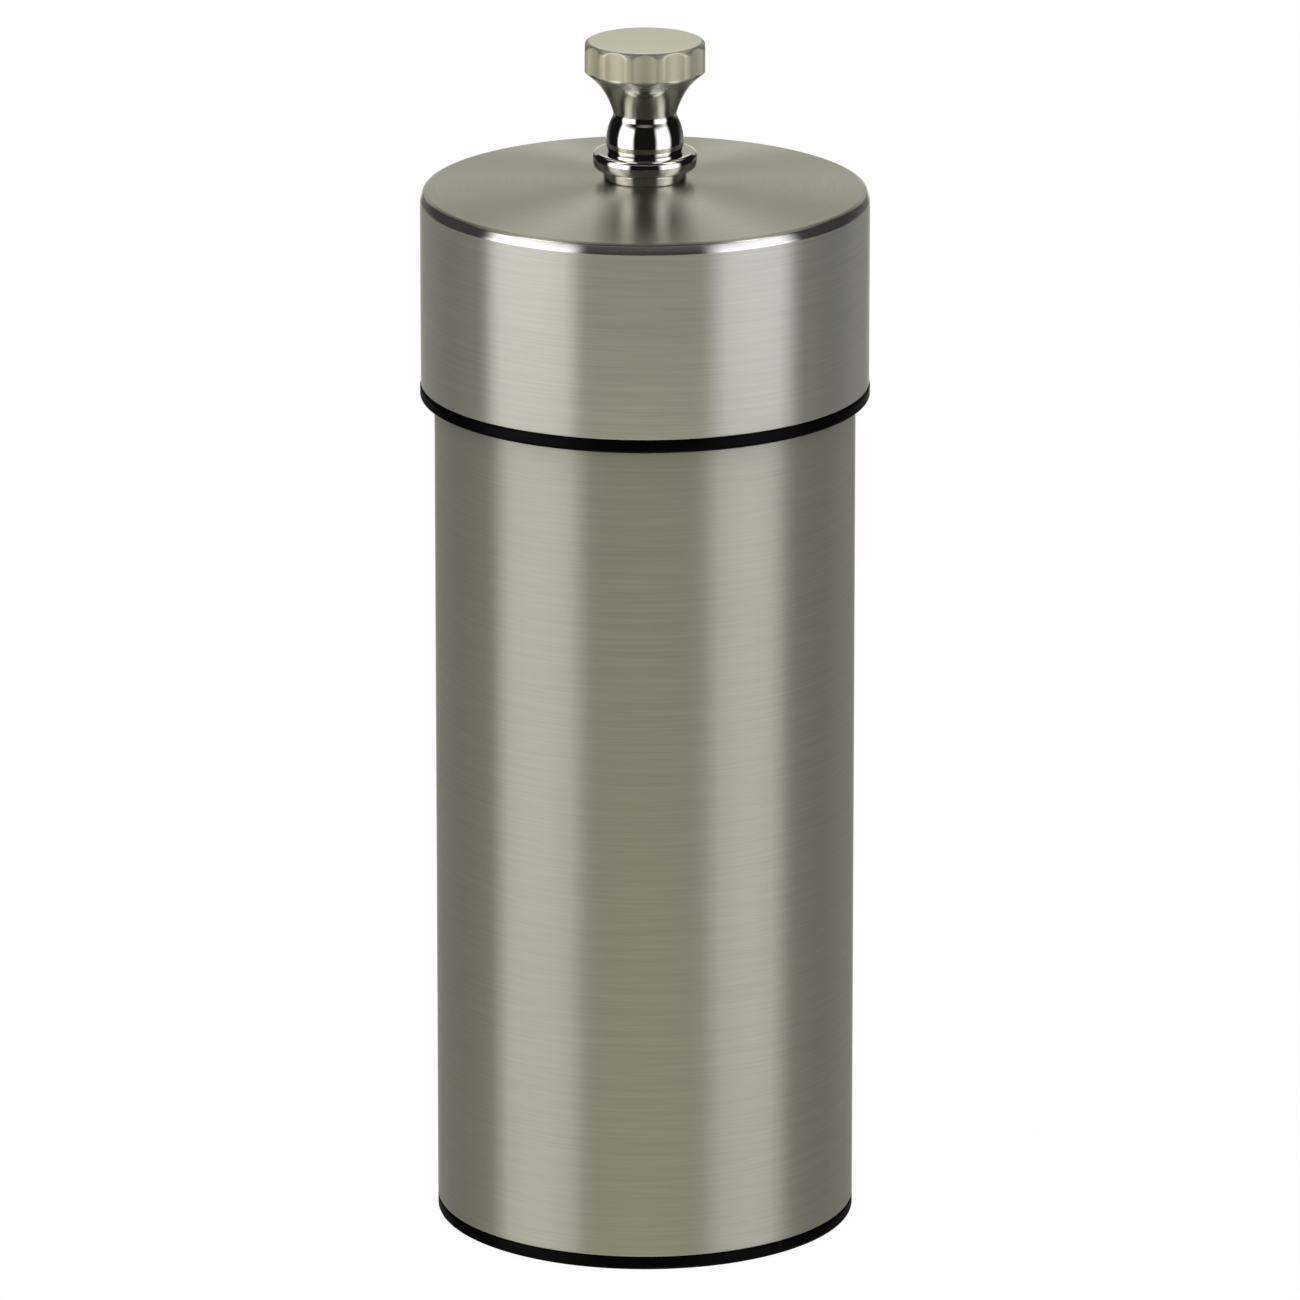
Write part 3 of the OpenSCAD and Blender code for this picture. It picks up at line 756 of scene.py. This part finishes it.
def dress_solids(nodes):
    """Plastic, nylon, ceramic and steel for the solids that stay."""
    black = (0.0015, 0.0015, 0.0015)
    base = moulded_plastic("base_plastic", black, gloss=0.06, roughness=0.40, relief=0.06)
    ring = moulded_plastic("ring_plastic", black, gloss=0.06, roughness=0.34, relief=0.03)
    housing = moulded_plastic("housing_plastic", (0.03, 0.03, 0.033), gloss=0.45, roughness=0.42, relief=0.1)
    liner = moulded_plastic("liner_plastic", (0.025, 0.025, 0.028), gloss=0.45, roughness=0.36, relief=0.08)
    dress(nodes, ["base_ring"], base)
    dress(nodes, ["head_core"], ring)
    dress(nodes, ["grinder_housing"], housing)
    dress(nodes, ["salt_liner"], liner)
    dress(nodes, ["shaft_bush", "glide_ring"], nylon("white_nylon"))
    dress(nodes, ["stator_burr", "rotor_burr"], ceramic("white_ceramic"))
    washer_steel = plain_steel("washer_steel", (0.62, 0.61, 0.58), roughness=0.3)
    dress(nodes, ["thrust_washer", "rotor_washer", "drive_plate"], washer_steel)


def make_pieces():
    """Builds the fine pieces with their materials."""
    body_steel = brushed_steel("brushed_body", (0.635, 0.63, 0.545), metal=0.47, roughness=0.40, relief=0.03)
    make_body_tube(body_steel)
    head_steel = brushed_steel("brushed_head", (0.74, 0.735, 0.68), metal=0.5, roughness=0.32, relief=0.025)
    rim_steel = brushed_steel("polished_bevel", (0.86, 0.855, 0.83), metal=0.88, roughness=0.15, relief=0.01)
    crown_steel = brushed_steel("brushed_crown", (0.625, 0.62, 0.54), metal=1.0, roughness=0.32, relief=0.025)
    make_head_shell(head_steel, rim_steel, crown_steel)
    knob_low, knob_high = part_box("knob")
    polished = chrome("polished_chrome", knob_low.z + WAIST_H, knob_high.z - BAND_H)
    # The top's tint is lighter than the band's and the bevel's: painted light on the knob's upward faces.
    band = satin_chrome("satin_band", (0.845, 0.793, 0.61), metal=0.4, roughness=0.52)
    top = satin_chrome("satin_top_painted_light", (0.91, 0.87, 0.745), metal=0.9, roughness=0.35)
    bevel = satin_chrome("satin_bevel", (0.80, 0.77, 0.66), metal=0.7, roughness=0.35)
    make_knob(polished, band, top, bevel)
    make_knob_washer(polished)
    make_shaft(plain_steel("shaft_steel", (0.58, 0.58, 0.56), roughness=0.26, drawn=True))
    make_screws(plain_steel("screw_steel", (0.55, 0.55, 0.54), roughness=0.28))
    make_spring(plain_steel("spring_steel", (0.50, 0.49, 0.47), roughness=0.3))


def add_floor():
    """A plain pale floor that the mill stands on, kept out of the steel's reflections."""
    sides = ((-1, -1), (1, -1), (1, 1), (-1, 1))
    corners = [(FLOOR_HALF * x, FLOOR_HALF * y, FLOOR_LEVEL) for x, y in sides]
    mesh = bpy.data.meshes.new("floor")
    mesh.from_pydata(corners, [], [(0, 1, 2, 3)])
    mesh.materials.append(floor_material("pale_floor"))
    floor = bpy.data.objects.new("floor", mesh)
    bpy.context.scene.collection.objects.link(floor)
    floor.visible_glossy = False
    floor.visible_diffuse = False


def panel_mask(tree, value, low, high, edge):
    """1 between two angles, falling softly to 0 outside them."""
    rise = remap(tree, value, low - edge, low + edge, 0, 1)
    fall = remap(tree, value, high - edge, high + edge, 1, 0)
    return calc(tree, "MULTIPLY", rise, fall)


def studio_light(tree):
    """The panels' light by direction, over a studio that is almost black."""
    direction = node(tree, "TexCoord").outputs["Generated"]
    x, y, z = node(tree, "SeparateXYZ", None, {"Vector": direction}).outputs
    to_degrees = 360 / TURN
    forward = calc(tree, "MULTIPLY", y, -1.0)
    bearing = calc(tree, "MULTIPLY", calc(tree, "ARCTAN2", x, forward), to_degrees)
    height = calc(tree, "MULTIPLY", calc(tree, "ARCSINE", z), to_degrees)
    light = rgb(0.008, 0.008, 0.0075)
    for panel in PANELS:
        across = panel_mask(tree, bearing, *panel["bearing"], panel["edge"])
        upward = panel_mask(tree, height, *panel["height"], panel["edge"])
        mask = calc(tree, "MULTIPLY", across, upward)
        light = mix_colour(tree, mask, light, shade(panel["tint"], panel["strength"]))
    return light


def add_studio():
    """Surrounds of soft panels. The camera itself sees plain white behind the floor."""
    world = bpy.data.worlds.new("studio")
    bpy.context.scene.world = world
    world.use_nodes = True
    tree = world.node_tree
    tree.nodes.clear()
    studio = node(tree, "Background", None, {"Color": studio_light(tree)})
    backdrop = node(tree, "Background", None, {"Color": rgb(1, 1, 1)})
    seen = node(tree, "LightPath").outputs["Is Camera Ray"]
    both = node(tree, "MixShader", None, {"Fac": seen})
    put(tree, both.inputs[1], studio.outputs[0])
    put(tree, both.inputs[2], backdrop.outputs[0])
    output = node(tree, "OutputWorld")
    put(tree, output.inputs["Surface"], both.outputs[0])


def add_camera():
    """The photo's view."""
    data = bpy.data.cameras.new("photo_view")
    data.lens = CAMERA_LENS
    data.sensor_width = CAMERA_SENSOR
    data.clip_end = CAMERA_REACH
    camera = bpy.data.objects.new("photo_view", data)
    bpy.context.scene.collection.objects.link(camera)
    back = Vector((0, -math.cos(CAMERA_ELEVATION), math.sin(CAMERA_ELEVATION)))
    camera.location = CAMERA_TARGET + CAMERA_DISTANCE * back
    camera.rotation_euler = back.to_track_quat("Z", "Y").to_euler()
    bpy.context.scene.camera = camera


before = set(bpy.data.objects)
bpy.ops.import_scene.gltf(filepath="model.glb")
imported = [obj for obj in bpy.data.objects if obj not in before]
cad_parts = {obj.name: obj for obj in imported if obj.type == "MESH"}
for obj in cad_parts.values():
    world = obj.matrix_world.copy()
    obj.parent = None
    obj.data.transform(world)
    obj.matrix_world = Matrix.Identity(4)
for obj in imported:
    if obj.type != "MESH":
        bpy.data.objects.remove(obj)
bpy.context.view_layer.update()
bpy.context.scene.view_settings.view_transform = "Standard"
add_camera()
add_studio()
add_floor()
make_pieces()
dress_solids(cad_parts)
